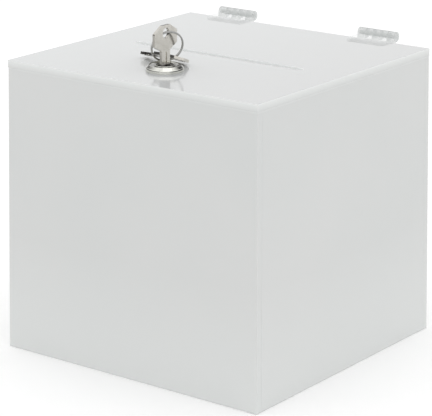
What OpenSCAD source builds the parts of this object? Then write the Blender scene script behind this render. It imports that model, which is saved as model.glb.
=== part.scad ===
// Donation box: an opal acrylic cube with a hinged lid, a coin slot and a cam lock.
// Origin at the centre of the underside, +X right, +Y to the hinged back, +Z up. Millimetres.
// The lid is drawn shut and the lock unlocked.

/* [Box] */
// Outside width of the box
box_w = 203; // [160:1:320]
// Outside depth of the box
box_d = 203; // [160:1:320]
// Overall height with the lid shut
box_h = 195; // [150:1:320]
// Thickness of every acrylic panel
panel_t = 5; // [4:0.5:7]
// How far the lid stands past the front and side panels
lid_overhang = 0.3; // [0:0.1:1]

/* [Slot] */
// Length of the slot in the lid
slot_l = 140; // [100:1:150]
// Width of the slot
slot_w = 6; // [4:0.5:10]
// Place of the slot's centre, front to back, from the middle of the lid
slot_y = -5; // [-20:1:40]

/* [Hinges] */
// Length of each hinge
hinge_l = 30; // [25:1:50]
// Half the distance between the hinges' centres
hinge_x = 60; // [40:1:65]
// How far both hinges are set to the right of centre
hinge_offset = -1.5; // [-4:0.5:4]
// Outside diameter of the hinge barrel
barrel_d = 7; // [6:0.5:9]
// Thickness of a hinge leaf
leaf_t = 2.6; // [2:0.1:3]
// Reach of a hinge leaf from the edge of the box
leaf_reach = 15; // [10:1:25]
// Number of knuckles in a hinge, an odd number
knuckles = 5; // [3:2:7]
// Diameter of the hinge pin
pin_d = 2.4; // [2:0.2:3]

/* [Lock] */
// Distance of the lock's axis from the front of the box
lock_setback = 39; // [38:0.5:41]
// Diameter of the lock's flange
flange_d = 25.2; // [24:0.2:30]
// Height of the flange above the lid
flange_h = 4.1; // [4:0.1:4.4]
// Diameter of the threaded barrel
thread_d = 18.8; // [18.6:0.1:19.4]
// Distance across the two flats on the barrel
barrel_flats = 16; // [15.5:0.1:16.5]
// Length of the barrel below the lid's top
lock_l = 16; // [15.5:0.5:17]
// Diameter of the turning plug
plug_d = 12; // [12:0.1:12.2]
// Distance across the flats of the nut
nut_af = 23; // [22:0.5:25]
// Reach of the cam from the lock's axis
cam_reach = 32; // [30:0.5:33]

/* [Key] */
// Width of the key's bow
bow_w = 24; // [22:0.5:24]
// Height of the key's bow
bow_h = 16.8; // [16:0.1:17.4]
// Width of the shank between the bow and the lock
shank_w = 8.8; // [8:0.1:9.2]
// Length of the shank
shank_l = 9.4; // [9:0.1:10.2]
// Width of the blade that goes into the plug
blade_w = 7; // [6.6:0.1:7.2]
// Length of the blade that goes into the plug
blade_l = 14.5; // [14:0.1:14.8]
// Thickness of the key
key_t = 1.8; // [1.6:0.1:1.8]
// Mean radius of the key ring
ring_r = 10.8; // [10.7:0.05:11]
// Diameter of the key ring's wire
ring_wire = 1.2; // [1:0.1:1.2]

/* [Hidden] */
$fn = 72;
eps = 0.01;

// Colours
opal = [0.94, 0.95, 0.95];
clear = [0.80, 0.86, 0.88, 0.55];
chrome = [0.82, 0.83, 0.84];
steel = [0.66, 0.67, 0.68];
brass = [0.78, 0.66, 0.38];
nickel = [0.72, 0.71, 0.67];

// Box
wall_h = box_h - panel_t;
half_w = box_w / 2;
half_d = box_d / 2;
slot_end_r = slot_w / 2;

// Hinges: the pin stands off the box's top back edge by the barrel's radius both ways
barrel_r = barrel_d / 2;
pin_y = half_d + barrel_r;
pin_z = box_h + barrel_r;
pin_play = 0.05;
knuckle_gap = 0.2;
leaf_gap = 0.3;
leaf_corner_r = 2.5;
knuckle_pitch = hinge_l / knuckles;

// Lock, measured from the lid's top on the lock's axis
lock_y = lock_setback - half_d;
flange_r = flange_d / 2;
thread_r = thread_d / 2;
thread_depth = 0.35;
thread_pitch = 1;
plug_r = plug_d / 2;
turn_play = 0.05;
lip_r = plug_r + 0.9;
lip_seat = 2.4;
plug_face = 4;
dish_h = 3.5;
rim_r = 0.5;
rim_centre_r = flange_r - 2;
flange_edge_r = 1.2;
flange_wall_h = 1.4;
washer_t = 0.8;
nut_t = 4.5;
groove_r = plug_r + 0.75;
groove_w = 6.4;
tail_w = 5.6;
stop_in_r = 6.5;
stop_out_r = 7.8;
stop_t = 1;
stop_lug_angle = 40;
turn_angle = 90;
stop_slack = 1;
stop_top = -lock_l - 0.25;
cam_top = stop_top - stop_t;
cam_t = 2;
cam_w = 13;
cam_tip_w = 9;
spring_washer_top = cam_top - cam_t;
spring_washer_t = 0.8;
screw_head_top = spring_washer_top - spring_washer_t;
screw_head_r = 4;
screw_head_h = 2.8;
screw_r = 1.45;
screw_l = 8;
lid_hole_r = thread_r + 0.2;

// Catch bar inside the front panel, just above the cam's path
catch_gap = 0.35;
catch_w = 40;
catch_depth = 12;
catch_h = 8;

// Turn of the keyway from the cam, so the key stands across the front while unlocked
keyway_angle = 90;

// Wafers stack down the plug
wafer_count = 5;
wafer_pitch = 2;
wafer_first = 0.6;
wafer_t = 1;
wafer_w = 5.6;
wafer_r = 5.75;
wafer_window = [8.1, 2.6];
wafer_slot_t = wafer_t + 0.1;
ear_x = [2.9, 3.9];
ear_y = 4;
spring_x = [-2.1, 2.85];
spring_y = 3.45;
spring_coil_r = 0.38;
spring_wire_r = 0.11;
spring_turns = 4;

// Key, with its own origin at the shoulder on the plug's face
key_play = 0.12;
groove_depth = 0.5;
key_groove_w = 2.2;
bow_top_chamfer = [7.8, 4.6];
bow_low_chamfer_h = 3.8;
bow_corner_r = 1.2;
bow_hole_r = 3.4;
bow_hole_z = shank_l + 11.5;
tip_chamfer = 1.6;
bit_depths = [1.1, 0.5, 0.9, 0.4, 0.8];

// Key ring, seen square to the key: it passes through the bow's hole and crosses the key's
// plane again at the end of a chord, beside the shank and below the bow
ring_pass = [-0.2, 0, 25];
ring_chord = 21.2;
ring_lean = -32.2;
ring_turn = 143.7;
ring_centre_off = sqrt(ring_r * ring_r - ring_chord * ring_chord / 4);

// Spare key: where its bow hole hangs on the ring, above the lid
spare_hole = [-1.76, 12.56, 6.14];
spare_yaw = -16.6;
spare_dip = -5.8;
spare_roll = 70.1;

// ---------- helpers ----------

// Points on an arc in the plane, anticlockwise from angle a to angle b
function arc(centre, r, a, b, n = 6) =
    [for (i = [0:n]) centre + r * [cos(a + (b - a) * i / n), sin(a + (b - a) * i / n)]];

function unit(v) = v / norm(v);

// Points on the arc of radius r that rounds corner b between its neighbours a and c
function corner(a, b, c, r) =
    let (u = unit(a - b), v = unit(c - b), half = acos(u * v) / 2,
         centre = b + unit(u + v) * r / sin(half),
         from = b + u * r / tan(half) - centre,
         to = b + v * r / tan(half) - centre,
         start = atan2(from.y, from.x),
         sweep = (atan2(to.y, to.x) - start + 540) % 360 - 180)
    arc(centre, r, start, start + sweep);

// Outline points of a screw thread running down from z = top to z = bottom
function thread_points(r, depth, pitch, top, bottom) =
    [for (z = [top:-pitch:bottom + pitch]) each [[r, z], [r - depth, z - pitch / 2]]];

function wafer_z(i) = wafer_first - i * wafer_pitch;

module panel(size, at) {
    translate(at) cube(size);
}

module at_lock(z = 0) {
    translate([0, lock_y, box_h + z]) children();
}

// As at_lock, with X across the key's blade
module at_keyway(z = 0) {
    at_lock(z) rotate(keyway_angle) children();
}

module hex_prism(across_flats, h) {
    cylinder(h = h, d = across_flats / cos(30), $fn = 6);
}

module ring_shape(outer, inner, h) {
    difference() {
        cylinder(h = h, r = outer);
        translate([0, 0, -eps]) cylinder(h = h + 2 * eps, r = inner);
    }
}

// Flat sector from angle a to angle b, centred on the Z axis
module sector(r, a, b, h) {
    linear_extrude(h) polygon(concat([[0, 0]], arc([0, 0], r, a, b, 12)));
}

// ---------- box ----------

module front_panel() {
    color(opal) panel([box_w, panel_t, wall_h], [-half_w, -half_d, 0]);
}

module back_panel() {
    color(opal) panel([box_w, panel_t, wall_h], [-half_w, half_d - panel_t, 0]);
}

module side_panel(x) {
    color(opal) panel([panel_t, box_d - 2 * panel_t, wall_h], [x, -half_d + panel_t, 0]);
}

module left_panel() {
    side_panel(-half_w);
}

module right_panel() {
    side_panel(half_w - panel_t);
}

module bottom_panel() {
    color(opal)
        panel([box_w - 2 * panel_t, box_d - 2 * panel_t, panel_t],
              [-half_w + panel_t, -half_d + panel_t, 0]);
}

// Strip bonded to the front panel; the locked cam lies under it
module catch_bar() {
    color(opal)
        panel([catch_w, catch_depth, catch_h],
              [-catch_w / 2, -half_d + panel_t, box_h + cam_top + catch_gap]);
}

module coin_slot() {
    translate([0, slot_y, wall_h - 1])
        linear_extrude(panel_t + 2)
            for (side = [-1, 1]) {
                translate([side * (slot_l / 2 - slot_end_r), 0]) circle(slot_end_r);
                square([slot_l - slot_w, slot_w], center = true);
            }
}

module lid_panel() {
    color(opal)
        difference() {
            panel([box_w + 2 * lid_overhang, box_d + lid_overhang, panel_t],
                  [-half_w - lid_overhang, -half_d - lid_overhang, wall_h]);
            coin_slot();
            at_lock(-panel_t - 1) cylinder(h = panel_t + 2, r = lid_hole_r);
        }
}

// ---------- hinges ----------

// One leaf lying flat: the pin runs along X at y = 0, z = 0, and the leaf's outer face is
// level with the underside of the barrel. first is 0 or 1, the first knuckle it owns.
module hinge_leaf(first) {
    plate_l = leaf_reach + barrel_r;
    difference() {
        union() {
            translate([0, -plate_l, -barrel_r])
                linear_extrude(leaf_t) leaf_outline(plate_l, first);
            for (k = [first:2:knuckles - 1]) {
                translate([knuckle_start(k), 0, 0])
                    rotate([0, 90, 0]) cylinder(h = knuckle_pitch - knuckle_gap, r = barrel_r);
            }
        }
        translate([-hinge_l, 0, 0])
            rotate([0, 90, 0]) cylinder(h = 2 * hinge_l, r = pin_d / 2 + pin_play);
    }
}

function knuckle_start(k) = -hinge_l / 2 + k * knuckle_pitch + knuckle_gap / 2;

// Plate with its two free corners rounded, and a tongue out to each knuckle it owns
module leaf_outline(plate_l, first) {
    r = leaf_corner_r;
    clear_y = plate_l - barrel_r - leaf_gap;
    polygon(concat(
        arc([-hinge_l / 2 + r, r], r, 180, 270),
        arc([hinge_l / 2 - r, r], r, 270, 360),
        [[hinge_l / 2, clear_y], [-hinge_l / 2, clear_y]]));
    for (k = [first:2:knuckles - 1])
        translate([knuckle_start(k), clear_y - eps])
            square([knuckle_pitch - knuckle_gap, barrel_r + leaf_gap + eps]);
}

module hinge_lid_leaf(x) {
    color(clear) translate([x, pin_y, pin_z]) hinge_leaf(1);
}

// The same leaf turned to hang down the back panel
module hinge_body_leaf(x) {
    color(clear) translate([x, pin_y, pin_z]) rotate([-90, 0, 0]) mirror([0, 1, 0]) hinge_leaf(0);
}

module hinge_pin(x) {
    color(clear)
        translate([x - hinge_l / 2, pin_y, pin_z])
            rotate([0, 90, 0]) cylinder(h = hinge_l, d = pin_d);
}

module left_hinge_body_leaf() {
    hinge_body_leaf(hinge_offset - hinge_x);
}

module left_hinge_lid_leaf() {
    hinge_lid_leaf(hinge_offset - hinge_x);
}

module left_hinge_pin() {
    hinge_pin(hinge_offset - hinge_x);
}

module right_hinge_body_leaf() {
    hinge_body_leaf(hinge_offset + hinge_x);
}

module right_hinge_lid_leaf() {
    hinge_lid_leaf(hinge_offset + hinge_x);
}

module right_hinge_pin() {
    hinge_pin(hinge_offset + hinge_x);
}

// ---------- lock ----------

// Half section of the flange and barrel, from the plug's bore outwards
function housing_section() = concat(
    [[plug_r + turn_play, -lock_l], [plug_r + turn_play, lip_seat], [lip_r + turn_play, lip_seat],
     [lip_r + turn_play, dish_h], [rim_centre_r - 1.5, dish_h], [rim_centre_r - 0.7, dish_h + 0.15]],
    arc([rim_centre_r, flange_h - rim_r], rim_r, 150, 60),
    arc([flange_r - flange_edge_r, flange_wall_h], flange_edge_r, 60, 0),
    [[flange_r, 0], [thread_r, 0], [thread_r, -panel_t]],
    thread_points(thread_r, thread_depth, thread_pitch, -panel_t - 0.2, -lock_l + 0.8),
    [[thread_r - thread_depth, -lock_l]]);

// Two lugs behind the housing leave the gap that the stop washer's tooth turns in
module stop_lugs() {
    gap_half = stop_lug_angle / 2 + stop_slack;
    translate([0, 0, -lock_l - stop_t])
        difference() {
            ring_shape(stop_out_r, stop_in_r, stop_t + eps);
            translate([0, 0, -eps])
                sector(2 * stop_out_r, -turn_angle - gap_half, gap_half, stop_t);
        }
}

module lock_housing() {
    color(chrome)
        at_lock()
            difference() {
                union() {
                    intersection() {
                        rotate_extrude() polygon(housing_section());
                        union() {
                            cylinder(h = flange_h + 1, r = flange_r + 1);
                            translate([-flange_r, -barrel_flats / 2, -lock_l - 1])
                                cube([2 * flange_r, barrel_flats, lock_l + 2]);
                        }
                    }
                    stop_lugs();
                }
                for (turn = [0, 90])
                    rotate(turn)
                        translate([-groove_r, -groove_w / 2, wafer_z(wafer_count - 1) - 1])
                            cube([2 * groove_r, groove_w, wafer_pitch * (wafer_count - 1) + 2]);
            }
}

// Toothed washer between the lid and the nut
module lock_washer() {
    tooth_count = 16;
    inner_r = thread_r + 0.15;
    color(steel)
        at_lock(-panel_t - washer_t)
            difference() {
                union() {
                    cylinder(h = washer_t, r = inner_r + 1.5);
                    for (i = [0:tooth_count - 1])
                        rotate(i * 360 / tooth_count)
                            translate([0, -0.9, 0]) cube([inner_r + 2.6, 1.8, washer_t]);
                }
                translate([0, 0, -eps]) cylinder(h = washer_t + 1, r = inner_r);
            }
}

module lock_nut() {
    color(chrome)
        at_lock(-panel_t - washer_t - nut_t)
            intersection() {
                difference() {
                    hex_prism(nut_af, nut_t);
                    translate([0, 0, -eps]) cylinder(h = nut_t + 1, r = thread_r + 0.03);
                }
                // Turned corners, as on a machined nut
                rotate_extrude()
                    polygon([[0, 0], [nut_af / 2 + 0.2, 0], [nut_af / 2 + 1.8, 1],
                             [nut_af / 2 + 1.8, nut_t], [0, nut_t]]);
            }
}

// Round core with the keyway, the wafer slots, the square tail and the screw's hole
module lock_plug() {
    keyway = [blade_w + 2 * key_play, key_t + 2 * key_play];
    keyway_l = blade_l + 0.4;
    rib_w = key_groove_w - 2 * key_play;
    color(chrome)
        at_keyway()
            difference() {
                union() {
                    translate([0, 0, stop_top]) cylinder(h = plug_face - stop_top - 0.3, r = plug_r);
                    translate([0, 0, lip_seat + 0.02])
                        rotate_extrude()
                            polygon(concat([[0, 0], [lip_r, 0]],
                                           arc([lip_r - 0.4, plug_face - lip_seat - 0.42], 0.4, 0, 90),
                                           [[0, plug_face - lip_seat - 0.02]]));
                    translate([-tail_w / 2, -tail_w / 2, cam_top - cam_t + 0.1])
                        cube([tail_w, tail_w, cam_t + stop_t]);
                }
                difference() {
                    translate([-keyway[0] / 2, -keyway[1] / 2, plug_face - keyway_l])
                        cube([keyway[0], keyway[1], keyway_l + 1]);
                    // Ward that fits the groove in the key
                    translate([-rib_w / 2, -keyway[1] / 2 - 1, plug_face - keyway_l - 1])
                        cube([rib_w, 1 + groove_depth, keyway_l + 3]);
                }
                for (i = [0:wafer_count - 1])
                    translate([0, 0, wafer_z(i) - wafer_slot_t / 2]) {
                        translate([-plug_r - 1, -wafer_w / 2 - 0.08, 0])
                            cube([2 * plug_r + 2, wafer_w + 0.16, wafer_slot_t]);
                        translate([spring_x[0] - 0.1, 0, 0])
                            cube([plug_r + 2, ear_y + 0.1, wafer_slot_t]);
                    }
                translate([0, 0, screw_head_top]) cylinder(h = screw_l + 0.3, r = screw_r + turn_play);
            }
}

// Flat plates with a window for the key; each has an ear that its spring pushes
module lock_wafers() {
    color(brass)
        at_keyway()
            for (i = [0:wafer_count - 1])
                translate([0, 0, wafer_z(i) - wafer_t / 2])
                    linear_extrude(wafer_t)
                        difference() {
                            union() {
                                intersection() {
                                    circle(wafer_r);
                                    square([2 * wafer_r, wafer_w], center = true);
                                }
                                translate([ear_x[0], 0]) square([ear_x[1] - ear_x[0], ear_y]);
                            }
                            square(wafer_window, center = true);
                        }
}

module wafer_springs() {
    spring_l = spring_x[1] - spring_x[0];
    color(steel)
        at_keyway()
            for (i = [0:wafer_count - 1])
                translate([spring_x[0], spring_y, wafer_z(i)])
                    rotate([0, 90, 0])
                        linear_extrude(spring_l, twist = 360 * spring_turns,
                                       slices = 9 * spring_turns, segments = 5)
                            translate([spring_coil_r, 0]) circle(spring_wire_r, $fn = 5);
}

// Square hole in the cam and the stop washer
module tail_hole(h) {
    hole = tail_w + 0.16;
    translate([-hole / 2, -hole / 2, -eps]) cube([hole, hole, h + 2 * eps]);
}

module stop_washer() {
    color(steel)
        at_lock(stop_top - stop_t)
            difference() {
                union() {
                    cylinder(h = stop_t, r = stop_in_r - 0.15);
                    sector(stop_out_r - 0.1, -stop_lug_angle / 2, stop_lug_angle / 2, stop_t);
                }
                tail_hole(stop_t);
            }
}

// Locking tongue: unlocked it points to +X, locked it points to the front
module cam() {
    tip_r = cam_tip_w / 2;
    hub_r = cam_w / 2;
    color(steel)
        at_lock(cam_top - cam_t)
            difference() {
                linear_extrude(cam_t) {
                    circle(hub_r);
                    translate([cam_reach - tip_r, 0]) circle(tip_r);
                    polygon([[0, -hub_r], [cam_reach - tip_r, -tip_r],
                             [cam_reach - tip_r, tip_r], [0, hub_r]]);
                }
                tail_hole(cam_t);
            }
}

// Split spring washer under the screw's head
module cam_washer() {
    color(steel)
        at_lock(spring_washer_top - spring_washer_t)
            difference() {
                ring_shape(screw_head_r + 0.2, screw_r + 0.25, spring_washer_t);
                rotate(35) translate([0, -0.3, -eps]) cube([screw_head_r + 1, 0.6, 2]);
            }
}

module cam_screw() {
    recess_w = 1.1;
    recess_l = 4.4;
    color(steel)
        at_lock(screw_head_top)
            difference() {
                union() {
                    rotate_extrude()
                        polygon(concat([[0, 0]], [[0, -screw_head_h]],
                                       arc([screw_head_r - 1.6, -screw_head_h + 1.6], 1.6, 270, 360),
                                       [[screw_head_r, 0]]));
                    cylinder(h = screw_l, r = screw_r);
                }
                for (turn = [0, 90])
                    rotate(turn)
                        translate([-recess_l / 2, -recess_w / 2, -screw_head_h - 1])
                            cube([recess_l, recess_w, 2.6]);
            }
}

// ---------- keys ----------

// One edge of the blade from the tip up, with a notch for each wafer
function blade_edge() =
    [for (i = [wafer_count - 1:-1:0])
        let (z = wafer_z(i) - plug_face, x = blade_w / 2, cut = bit_depths[i])
        each [[x, z - 0.9], [x - cut, z - 0.35], [x - cut, z + 0.35], [x, z + 0.9]]];

// Right half of the bow, from the shank up, with its corners rounded
function bow_edge() =
    let (side = bow_w / 2, top = shank_l + bow_h, cut = bow_top_chamfer,
         points = [[shank_w / 2, 0], [shank_w / 2, shank_l], [side, shank_l + bow_low_chamfer_h],
                   [side, top - cut.y], [side - cut.x, top], [0, top]])
    [for (i = [1:4]) each corner(points[i - 1], points[i], points[i + 1], bow_corner_r)];

// The whole key seen from the front, the same on both edges
module key_outline() {
    half = concat([[blade_w / 2 - tip_chamfer, -blade_l], [blade_w / 2, -blade_l + tip_chamfer]],
                  blade_edge(),
                  [[blade_w / 2, 0], [shank_w / 2, 0]],
                  bow_edge());
    polygon(concat(half, [for (i = [len(half) - 1:-1:0]) [-half[i].x, half[i].y]]));
}

module key_shape() {
    difference() {
        translate([0, key_t / 2, 0]) rotate([90, 0, 0]) linear_extrude(key_t) key_outline();
        translate([0, key_t, bow_hole_z])
            rotate([90, 0, 0]) cylinder(h = 2 * key_t, r = bow_hole_r);
        // Milled groove up the front, rounded off where the cutter ran out
        translate([-key_groove_w / 2, -key_t, -blade_l - 1])
            cube([key_groove_w, key_t / 2 + groove_depth, blade_l + shank_l - 1]);
        translate([0, -key_t / 2 + groove_depth, shank_l - 2])
            rotate([90, 0, 0]) cylinder(h = key_t, d = key_groove_w);
    }
}

module key() {
    color(nickel) at_keyway(plug_face + 0.02) key_shape();
}

module key_ring() {
    color(chrome)
        at_keyway()
            translate(ring_pass)
                rotate([0, ring_lean, 0])
                    rotate([0, 0, ring_turn])
                        translate([ring_centre_off, 0, -ring_chord / 2])
                            rotate([90, 0, 0])
                                rotate_extrude() translate([ring_r, 0]) circle(ring_wire / 2, $fn = 32);
}

module spare_key() {
    color(nickel)
        at_lock()
            translate(spare_hole)
                rotate([0, spare_dip, spare_yaw])
                    rotate([spare_roll, 0, 0])
                        rotate([0, 90, 0])
                            translate([0, 0, -bow_hole_z]) key_shape();
}

front_panel();
back_panel();
left_panel();
right_panel();
bottom_panel();
lid_panel();
catch_bar();
left_hinge_body_leaf();
left_hinge_lid_leaf();
left_hinge_pin();
right_hinge_body_leaf();
right_hinge_lid_leaf();
right_hinge_pin();
lock_housing();
lock_washer();
lock_nut();
lock_plug();
lock_wafers();
wafer_springs();
stop_washer();
cam();
cam_washer();
cam_screw();
key();
key_ring();
spare_key();
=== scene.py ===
"""Looks for the donation box: materials, edges, split key ring, floor, light and camera.

Metres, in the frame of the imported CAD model: origin under the middle of the box, +Z up.
"""
import math

import bmesh
import bpy
import numpy as np
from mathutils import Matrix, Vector


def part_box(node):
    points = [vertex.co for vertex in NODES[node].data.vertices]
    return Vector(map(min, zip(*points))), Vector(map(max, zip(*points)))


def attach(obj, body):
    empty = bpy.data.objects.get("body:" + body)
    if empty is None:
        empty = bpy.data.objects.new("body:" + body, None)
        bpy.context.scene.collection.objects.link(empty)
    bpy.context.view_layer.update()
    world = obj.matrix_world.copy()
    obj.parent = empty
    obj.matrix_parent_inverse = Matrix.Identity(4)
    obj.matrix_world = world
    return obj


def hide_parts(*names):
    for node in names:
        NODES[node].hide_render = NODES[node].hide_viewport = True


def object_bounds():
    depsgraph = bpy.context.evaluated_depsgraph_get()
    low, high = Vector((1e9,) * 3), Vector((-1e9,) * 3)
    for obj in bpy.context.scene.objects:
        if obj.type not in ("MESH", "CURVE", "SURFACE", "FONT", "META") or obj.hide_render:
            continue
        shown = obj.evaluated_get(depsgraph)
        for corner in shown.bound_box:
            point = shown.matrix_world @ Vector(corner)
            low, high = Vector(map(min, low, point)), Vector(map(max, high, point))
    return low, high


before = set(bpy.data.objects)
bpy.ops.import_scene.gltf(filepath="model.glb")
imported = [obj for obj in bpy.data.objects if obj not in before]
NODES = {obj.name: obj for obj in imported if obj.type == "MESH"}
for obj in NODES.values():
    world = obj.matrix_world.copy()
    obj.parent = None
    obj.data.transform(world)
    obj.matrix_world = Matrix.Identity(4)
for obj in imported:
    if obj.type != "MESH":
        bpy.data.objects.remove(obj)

CAD_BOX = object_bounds()
MM = 0.001

PANELS = ("front_panel", "back_panel", "left_panel", "right_panel", "bottom_panel", "catch_bar")
LEAVES = ("left_hinge_body_leaf", "left_hinge_lid_leaf", "right_hinge_body_leaf",
          "right_hinge_lid_leaf")
PINS = ("left_hinge_pin", "right_hinge_pin")
CHROME = ("lock_housing", "lock_plug", "lock_nut")
KEYS = ("key", "spare_key")
ZINC = ("lock_washer", "stop_washer", "cam", "cam_washer", "cam_screw", "wafer_springs")

# ---------- main places, from the frame or the design's own sizes ----------

LID_LO, LID_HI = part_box("lid_panel")
BODY_LO, BODY_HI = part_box("front_panel")
LID_TOP = LID_HI.z
PIN_LO, PIN_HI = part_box("left_hinge_pin")
BARREL_Y = (PIN_LO.y + PIN_HI.y) / 2
BARREL_Z = (PIN_LO.z + PIN_HI.z) / 2
SLOT_Y = -5 * MM
SLOT_W = 6 * MM
SLOT_L = 140 * MM
CAMERA_AZIMUTH = math.radians(37.741)
CAMERA_RIGHT = Vector((math.cos(CAMERA_AZIMUTH), math.sin(CAMERA_AZIMUTH), 0))

# ---------- node helpers ----------


class Shader:
    """A material with a Principled shader, and short calls that add nodes to it."""

    def __init__(self, name):
        self.material = bpy.data.materials.new(name)
        self.material.use_nodes = True
        self.tree = self.material.node_tree
        self.bsdf = self.tree.nodes["Principled BSDF"]
        self.place = self.tree.nodes.new("ShaderNodeTexCoord").outputs["Object"]

    def node(self, kind, **inputs):
        made = self.tree.nodes.new(kind)
        for key, value in inputs.items():
            self.feed(made.inputs[key.replace("_", " ")], value)
        return made

    def feed(self, socket, value):
        if isinstance(value, bpy.types.NodeSocket):
            self.tree.links.new(value, socket)
        else:
            socket.default_value = value

    def set(self, **inputs):
        for key, value in inputs.items():
            self.feed(self.bsdf.inputs[key.replace("_", " ")], value)

    def noise(self, scale, detail=3.0, roughness=0.5, stretch=None):
        """Noise between 0 and 1, at a scale in features per metre."""
        place = self.place
        if stretch:
            mapping = self.node("ShaderNodeMapping", Vector=place)
            mapping.inputs["Scale"].default_value = stretch
            place = mapping.outputs["Vector"]
        made = self.node("ShaderNodeTexNoise", Vector=place, Scale=scale, Detail=detail,
                         Roughness=roughness)
        return made.outputs["Fac"]

    def span(self, value, low, high, new_low, new_high):
        """Maps low..high to new_low..new_high, held at both ends."""
        made = self.node("ShaderNodeMapRange", Value=value)
        for key, number in zip(("From Min", "From Max", "To Min", "To Max"),
                               (low, high, new_low, new_high)):
            self.feed(made.inputs[key], number)
        return made.outputs["Result"]

    def math(self, operation, a, b=0):
        made = self.tree.nodes.new("ShaderNodeMath")
        made.operation = operation
        self.feed(made.inputs[0], a)
        self.feed(made.inputs[1], b)
        return made.outputs["Value"]

    def mix(self, factor, a, b):
        """A colour between a and b."""
        made = self.tree.nodes.new("ShaderNodeMix")
        made.data_type = "RGBA"
        self.feed(made.inputs["Factor"], factor)
        self.feed(made.inputs[6], a)
        self.feed(made.inputs[7], b)
        return made.outputs[2]

    def axis(self, letter):
        split = self.node("ShaderNodeSeparateXYZ", Vector=self.place)
        return split.outputs[letter]

    def facing(self, letter):
        """One part of the surface's direction, from -1 to 1."""
        place = self.node("ShaderNodeNewGeometry").outputs["Normal"]
        return self.node("ShaderNodeSeparateXYZ", Vector=place).outputs[letter]

    def mirrored(self, letter):
        """One part of the direction a mirror would look in, from -1 to 1."""
        place = self.node("ShaderNodeTexCoord").outputs["Reflection"]
        return self.node("ShaderNodeSeparateXYZ", Vector=place).outputs[letter]

    def steps(self, value, *stops):
        """A grey that runs through (place, tone) stops, with the tone as the eye reads it."""
        made = self.node("ShaderNodeValToRGB", Fac=value)
        ramp = made.color_ramp
        while len(ramp.elements) < len(stops):
            ramp.elements.new(0.5)
        for element, (place, tone) in zip(ramp.elements, stops):
            element.position = place
            element.color = colour(tone, tone, tone)
        return made.outputs["Color"]

    def times(self, a, b):
        """Two colours multiplied."""
        made = self.tree.nodes.new("ShaderNodeMix")
        made.data_type = "RGBA"
        made.blend_type = "MULTIPLY"
        self.feed(made.inputs["Factor"], 1.0)
        self.feed(made.inputs[6], a)
        self.feed(made.inputs[7], b)
        return made.outputs[2]

    def studio(self, base, *stops):
        """Painted reflection: tints a metal's colour by the height it mirrors, standing in for a
        dark room around the lamps.
        """
        height = self.span(self.mirrored("Z"), -1, 1, 0, 1)
        return self.times(base, self.steps(height, *stops))

    def paint_reflection_sideways(self, base, *stops):
        """Painted reflection, the same way, by how far to the left or right of the camera it
        mirrors.
        """
        across = self.math("ADD", self.math("MULTIPLY", self.mirrored("X"), CAMERA_RIGHT.x),
                           self.math("MULTIPLY", self.mirrored("Y"), CAMERA_RIGHT.y))
        return self.times(base, self.steps(self.span(across, -1, 1, 0, 1), *stops))

    def bump(self, height, distance, strength=1.0):
        made = self.node("ShaderNodeBump", Height=height, Distance=distance, Strength=strength)
        self.set(Normal=made.outputs["Normal"])


def colour(red, green, blue):
    """A colour given as the eye reads it, 0 to 255, as the linear colour a shader takes."""
    parts = []
    for value in (red, green, blue):
        share = value / 255
        parts.append(share / 12.92 if share <= 0.04045 else ((share + 0.055) / 1.055) ** 2.4)
    return (*parts, 1.0)


# ---------- CAD pieces ----------

WELD_REACH = 0.002 * MM
EDGE_ANGLE = math.radians(40)


def dress(material, slot, *names):
    """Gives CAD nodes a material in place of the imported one."""
    for name in names:
        mesh = NODES[name].data
        mesh.materials.clear()
        mesh.materials.append(material)


def round_edges(width, segments, *names):
    """Polished or tumbled edges. The CAD mesh keeps its vertices; the modifier rounds them."""
    for name in names:
        item = NODES[name]
        weld = item.modifiers.new("weld", "WELD")
        weld.merge_threshold = WELD_REACH
        bevel = item.modifiers.new("edges", "BEVEL")
        bevel.width = width
        bevel.segments = segments
        bevel.limit_method = "ANGLE"
        bevel.angle_limit = EDGE_ANGLE
        bevel.use_clamp_overlap = True
        bevel.harden_normals = True


def pass_light(*names):
    """Clear stock lets the light by: no shadow, and no mirror image in the glossy lid."""
    for name in names:
        item = NODES[name]
        item.visible_shadow = False
        item.visible_diffuse = False
        item.visible_glossy = False


# ---------- materials ----------

# Painted bounce light: how high up the walls it reaches, as a share of their height; and the height
# of the painted bright band under the lid, over the join's shade
PAINTED_BOUNCE_SHARE = 0.4
PAINTED_SEAM_LIGHT_H = 1.5 * MM
# How strongly the slot's walls glow: painted light, given as emission
PAINTED_SLOT_GLOW = 0.26
# How far below and in front of the pin's axis the hinge changes from barrel to flat leaf
BARREL_IN = 3 * MM
BARREL_OUT = 4.5 * MM
# How much a clear piece's far faces show, against its near ones
FAR_SIDE_SEEN = 0.6


def opal_base(name):
    """Milky cast sheet under a glossy skin. Returns the shader and its clouded tint."""
    s = Shader(name)
    cloud = s.span(s.noise(9, detail=2), 0.3, 0.7, 0, 1)
    tint = s.mix(cloud, colour(205, 207, 206), colour(208, 209, 208))
    s.set(IOR=1.49, Subsurface_Weight=0.15, Subsurface_Scale=0.002)
    s.bsdf.inputs["Subsurface Radius"].default_value = (1.0, 0.95, 0.9)
    s.set(Roughness=s.span(s.noise(60, detail=4), 0.3, 0.75, 0.1, 0.16))
    s.bump(s.noise(14, detail=1), 0.05 * MM, 0.3)
    return s, tint


def opal_panels():
    """The walls, with painted light: lighter toward the bottom, standing in for light bounced off
    the table, and a painted bright band just under the lid, over the shade at the join.
    """
    s, tint = opal_base("opal_panels")
    height = s.axis("Z")
    # Painted bounce light: the colour lightens toward the bottom of the walls
    painted_bounce = s.span(height, BODY_LO.z, BODY_HI.z * PAINTED_BOUNCE_SHARE, 1, 0)
    tint = s.mix(painted_bounce, tint, colour(215, 217, 216))
    # Painted light: a bright band just under the lid, over the shade at the join
    painted_seam_light = s.span(height, BODY_HI.z - PAINTED_SEAM_LIGHT_H, BODY_HI.z, 0, 1)
    tint = s.mix(painted_seam_light, tint, colour(215, 217, 216))
    s.set(Base_Color=tint)
    return s.material


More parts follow.
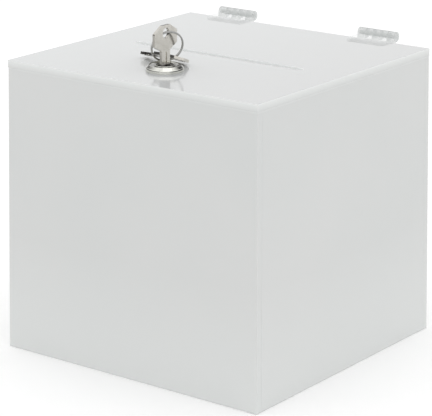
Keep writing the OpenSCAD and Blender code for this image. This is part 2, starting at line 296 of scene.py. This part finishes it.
def opal_lid():
    """The lid, with painted light as if light came in through its upper face: its upright faces
    lighten toward the top in their colour, and the slot's walls glow by emission. Its flat faces
    get a painted shade, darker toward +X.
    """
    s, tint = opal_base("opal_lid")
    upright = s.span(s.math("ABSOLUTE", s.facing("Z")), 0.3, 0.8, 1, 0)
    # Painted light: the upright faces' colour lightens toward the top of the lid
    edge_light_climb = s.span(s.axis("Z"), LID_LO.z, LID_TOP, 0, 1)
    painted_edge_light = s.mix(edge_light_climb, tint, colour(223, 225, 224))
    # Painted shade: the flat faces' colour darkens toward +X
    across = s.span(s.axis("X"), LID_LO.x, LID_HI.x, 0, 1)
    top = s.mix(across, colour(211, 213, 213), colour(206, 207, 207))
    s.set(Base_Color=s.mix(upright, top, painted_edge_light))
    # Painted light: the slot's walls glow by emission
    off_slot = s.math("ABSOLUTE", s.math("SUBTRACT", s.axis("Y"), SLOT_Y))
    off_end = s.math("ABSOLUTE", s.axis("X"))
    near = s.math("MULTIPLY", s.span(off_slot, SLOT_W, 1.2 * SLOT_W, 1, 0),
                  s.span(off_end, 0.5 * SLOT_L, 0.5 * SLOT_L + MM, 1, 0))
    glow = s.math("MULTIPLY", s.math("MULTIPLY", upright, near), PAINTED_SLOT_GLOW)
    s.set(Emission_Color=colour(235, 236, 236), Emission_Strength=glow)
    return s.material


def clear_acrylic():
    """Clear moulded hinge stock. The round barrel's colour greys and darkens at grazing angles:
    painted refraction shade. The flat leaf keeps a plain pale colour.
    """
    s = Shader("clear_acrylic")
    skim = s.node("ShaderNodeLayerWeight", Blend=0.5).outputs["Facing"]
    flow = s.noise(160, detail=3)
    # Painted refraction shade: the barrel's colour darkens at grazing angles
    tone = s.mix(s.span(skim, 0.5, 1.0, 0, 1), colour(198, 201, 200), colour(84, 87, 87))
    barrel = s.math("MULTIPLY",
                    s.span(s.axis("Y"), BARREL_Y - BARREL_OUT, BARREL_Y - BARREL_IN, 0, 1),
                    s.span(s.axis("Z"), BARREL_Z - BARREL_OUT, BARREL_Z - BARREL_IN, 0, 1))
    round_part = s.span(skim, 0.3, 0.95, 0.6, 0.95)
    flat_part = s.span(skim, 0.3, 0.95, 0.15, 0.35)
    veil = s.math("ADD", s.math("MULTIPLY", barrel, round_part),
                  s.math("MULTIPLY", s.math("SUBTRACT", 1.0, barrel), flat_part))
    behind = s.node("ShaderNodeNewGeometry").outputs["Backfacing"]
    veil = s.math("MULTIPLY", veil, s.span(behind, 0, 1, 1, FAR_SIDE_SEEN))
    s.set(Base_Color=s.mix(barrel, colour(222, 225, 224), tone), IOR=1.49, Alpha=veil)
    s.set(Roughness=s.span(flow, 0.35, 0.7, 0.04, 0.12))
    s.bump(flow, 0.04 * MM, 0.4)
    return s.material


def lock_chrome():
    """Bright chrome with fine handling marks. Its colour carries a painted reflection of a dark
    room around the lamps.
    """
    s = Shader("lock_chrome")
    # Painted reflection: bands by the height the surface mirrors
    shade = s.studio(colour(238, 238, 231), (0.0, 250), (0.48, 240), (0.54, 135), (0.64, 130),
                     (0.74, 240), (1.0, 250))
    painted_side_reflection = s.paint_reflection_sideways(shade, (0.0, 160), (0.2, 185), (0.28, 250), (0.7, 250), (0.8, 95),
                           (0.95, 70), (1.0, 150))
    # Painted reflection: the left-right bands take over where the surface mirrors a little above
    # the horizon
    low = s.span(s.mirrored("Z"), -0.1, 0.1, 0.25, 1)
    high = s.span(s.mirrored("Z"), 0.5, 0.75, 1, 0)
    shade = s.mix(s.math("MULTIPLY", low, high), shade, painted_side_reflection)
    s.set(Base_Color=shade, Metallic=1.0)
    s.set(Roughness=s.span(s.noise(900, detail=5), 0.35, 0.7, 0.06, 0.16))
    s.bump(s.noise(500, detail=2), 0.01 * MM, 0.3)
    return s.material


def key_nickel():
    """Nickel silver, tumbled, with faint milling lines along the blank. Its colour carries a
    painted reflection of a dark room around the lamps.
    """
    s = Shader("key_nickel")
    lines = s.noise(1500, detail=2, stretch=(1.0, 1.0, 0.08))
    wear = s.noise(260, detail=4)
    base = s.mix(s.span(wear, 0.3, 0.7, 0, 1), colour(218, 214, 206), colour(230, 227, 220))
    # Painted reflection: by the height it mirrors, then by left and right
    shade = s.studio(base, (0.0, 252), (0.5, 248), (0.57, 100), (0.72, 80), (0.82, 235), (1.0, 250))
    shade = s.paint_reflection_sideways(shade, (0.0, 185), (0.1, 195), (0.3, 250), (1.0, 250))
    s.set(Base_Color=shade, Metallic=1.0)
    s.set(Roughness=s.span(lines, 0.3, 0.7, 0.14, 0.24))
    s.bump(lines, 0.006 * MM, 0.2)
    return s.material


def ring_steel():
    s = Shader("ring_steel")
    s.set(Base_Color=colour(176, 176, 174), Metallic=1.0)
    s.set(Roughness=s.span(s.noise(1200, detail=4), 0.3, 0.7, 0.14, 0.26))
    return s.material


def zinc_steel():
    """Zinc plate, dull and slightly mottled."""
    s = Shader("zinc_steel")
    mottle = s.noise(420, detail=5, roughness=0.6)
    base = s.mix(s.span(mottle, 0.35, 0.65, 0, 1), colour(176, 180, 184), colour(202, 205, 206))
    s.set(Base_Color=base, Metallic=1.0)
    s.set(Roughness=s.span(mottle, 0.3, 0.7, 0.28, 0.45))
    s.bump(s.noise(1400, detail=2), 0.01 * MM, 0.3)
    return s.material


def wafer_brass():
    s = Shader("wafer_brass")
    tone = s.noise(500, detail=4)
    base = s.mix(s.span(tone, 0.3, 0.7, 0, 1), colour(184, 150, 88), colour(214, 184, 116))
    s.set(Base_Color=base, Metallic=1.0)
    s.set(Roughness=s.span(tone, 0.3, 0.7, 0.22, 0.36))
    return s.material


def floor_paper():
    s = Shader("floor_paper")
    grain = s.noise(900, detail=3)
    base = s.mix(s.span(grain, 0.3, 0.7, 0, 1), colour(250, 250, 250), colour(253, 253, 253))
    s.set(Base_Color=base, Roughness=0.9)
    s.bsdf.inputs["Specular IOR Level"].default_value = 0.1
    s.set(Emission_Color=colour(255, 255, 255), Emission_Strength=0.08)
    return s.material


# ---------- key ring ----------

# Radius of the CAD ring's wire
WIRE_R = 0.6 * MM
# Each coil's width along the ring's axis, and its half thickness across it
RING_COIL_W = 0.74 * MM
RING_COIL_R = 0.55 * MM
# Half a coil's share of its width, less a hairline between the two coils
COIL_HALF = 0.49
# The wire's section is rounder near 1 and squarer near 0
WIRE_FLATNESS = 0.6
RING_RAMP = math.radians(28)
RING_STEPS = 160
RING_SECTION = 10


def split_ring():
    """Two coils of flattened wire side by side, with the ramp where one crosses to the other.

    It stands on the centre, plane and radius of the CAD ring.
    """
    points = np.array([v.co for v in NODES["key_ring"].data.vertices])
    centre = (points.min(axis=0) + points.max(axis=0)) / 2
    spread = np.linalg.svd(points - centre, full_matrices=False)[2]
    side, up, axis = (Vector(row) for row in spread)
    radius = np.linalg.norm(points - centre, axis=1).max() - WIRE_R
    shape = bmesh.new()
    loops = []
    for i in range(RING_STEPS + 1):
        angle = 4 * math.pi * i / RING_STEPS
        ramp = min(max((angle - 2 * math.pi) / RING_RAMP + 0.5, 0), 1)
        lift = (ramp * ramp * (3 - 2 * ramp) - 0.5) * RING_COIL_W
        out = side * math.cos(angle) + up * math.sin(angle)
        loop = []
        for k in range(RING_SECTION):
            turn = 2 * math.pi * k / RING_SECTION
            flat = [math.copysign(abs(v) ** WIRE_FLATNESS, v)
                    for v in (math.cos(turn), math.sin(turn))]
            reach = radius + RING_COIL_R * flat[0]
            side_step = lift + COIL_HALF * RING_COIL_W * flat[1]
            place = Vector(centre) + out * reach + axis * side_step
            loop.append(shape.verts.new(place))
        loops.append(loop)
    for a, b in zip(loops, loops[1:]):
        for k in range(RING_SECTION):
            n = (k + 1) % RING_SECTION
            shape.faces.new((a[k], a[n], b[n], b[k])).smooth = True
    shape.faces.new(loops[0])
    shape.faces.new(loops[-1])
    bmesh.ops.recalc_face_normals(shape, faces=shape.faces)
    mesh = bpy.data.meshes.new("split_ring")
    shape.to_mesh(mesh)
    shape.free()
    mesh.materials.append(ring_steel())
    made = bpy.data.objects.new("split_ring", mesh)
    bpy.context.scene.collection.objects.link(made)
    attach(made, "ring")
    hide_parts("key_ring")


# ---------- studio ----------

FLOOR_REACH = 6.0
FLOOR_GAP = 0.2 * MM


def floor():
    mesh = bpy.data.meshes.new("studio_floor")
    shape = bmesh.new()
    bmesh.ops.create_grid(shape, x_segments=1, y_segments=1, size=FLOOR_REACH)
    shape.to_mesh(mesh)
    shape.free()
    made = bpy.data.objects.new("studio_floor", mesh)
    made.location.z = BODY_LO.z - FLOOR_GAP
    mesh.materials.append(floor_paper())
    bpy.context.scene.collection.objects.link(made)


def sky():
    """An even white room."""
    world = bpy.data.worlds.new("studio")
    bpy.context.scene.world = world
    world.use_nodes = True
    background = world.node_tree.nodes["Background"]
    background.inputs["Color"].default_value = (1, 1, 1, 1)
    background.inputs["Strength"].default_value = 1.0


def softbox(name, azimuth, elevation, distance, size, power):
    """A square lamp aimed at the middle of the box."""
    lamp = bpy.data.lights.new(name, "AREA")
    lamp.size = size
    lamp.energy = power
    made = bpy.data.objects.new(name, lamp)
    turn, rise = math.radians(azimuth), math.radians(elevation)
    away = Vector((math.sin(turn) * math.cos(rise), -math.cos(turn) * math.cos(rise),
                   math.sin(rise)))
    middle = (CAD_BOX[0] + CAD_BOX[1]) / 2
    made.location = middle + away * distance
    made.rotation_euler = away.to_track_quat("Z", "Y").to_euler()
    bpy.context.scene.collection.objects.link(made)


# ---------- camera ----------

SENSOR_W = 36.0
LENS = 189.5
STATION = (0.8901, -1.2242, 0.5275)
AIM_ELEVATION = 4.4
SHIFT_X = 0.1439
SHIFT_Y = -1.0956
STATION_SLACK = 50 * MM


def driven_shift(data, camera, station, channel, amount):
    """The lens is shifted only while the camera stands at its own station.

    The curve gives the shift by the camera's distance from there.
    """
    curve = data.driver_add(channel)
    curve.driver.type = "SUM"
    away = curve.driver.variables.new()
    away.type = "LOC_DIFF"
    away.targets[0].id = camera
    away.targets[1].id = station
    for modifier in list(curve.modifiers):
        curve.modifiers.remove(modifier)
    for distance, shift in ((0, amount), (STATION_SLACK, 0)):
        curve.keyframe_points.insert(distance, shift).interpolation = "LINEAR"
    curve.extrapolation = "CONSTANT"


def camera():
    data = bpy.data.cameras.new("camera")
    data.sensor_width = SENSOR_W
    data.lens = LENS
    data.clip_start = 0.01
    data.clip_end = 100
    made = bpy.data.objects.new("camera", data)
    turn, rise = CAMERA_AZIMUTH, math.radians(AIM_ELEVATION)
    back = Vector((math.sin(turn) * math.cos(rise), -math.cos(turn) * math.cos(rise),
                   math.sin(rise)))
    made.location = STATION
    made.rotation_euler = back.to_track_quat("Z", "Y").to_euler()
    bpy.context.scene.collection.objects.link(made)
    bpy.context.scene.camera = made
    station = bpy.data.objects.new("station", None)
    station.location = STATION
    bpy.context.scene.collection.objects.link(station)
    driven_shift(data, made, station, "shift_x", SHIFT_X)
    driven_shift(data, made, station, "shift_y", SHIFT_Y)


# ---------- build ----------

dress(opal_panels(), "opal_acrylic", *PANELS)
dress(opal_lid(), "opal_acrylic", "lid_panel")
dress(clear_acrylic(), "clear_acrylic", *LEAVES, *PINS)
dress(lock_chrome(), "lock_chrome", *CHROME)
dress(key_nickel(), "key_nickel", *KEYS)
dress(zinc_steel(), "steel", *ZINC)
dress(wafer_brass(), "brass", "lock_wafers")

round_edges(0.05 * MM, 1, "lid_panel", *PANELS)
round_edges(0.2 * MM, 2, *LEAVES)
round_edges(0.12 * MM, 2, *KEYS)

pass_light(*LEAVES, *PINS)

split_ring()
floor()
sky()
softbox("top_light", azimuth=60, elevation=75, distance=2.0, size=1.6, power=2.5)
camera()

bpy.context.scene.view_settings.view_transform = "Standard"
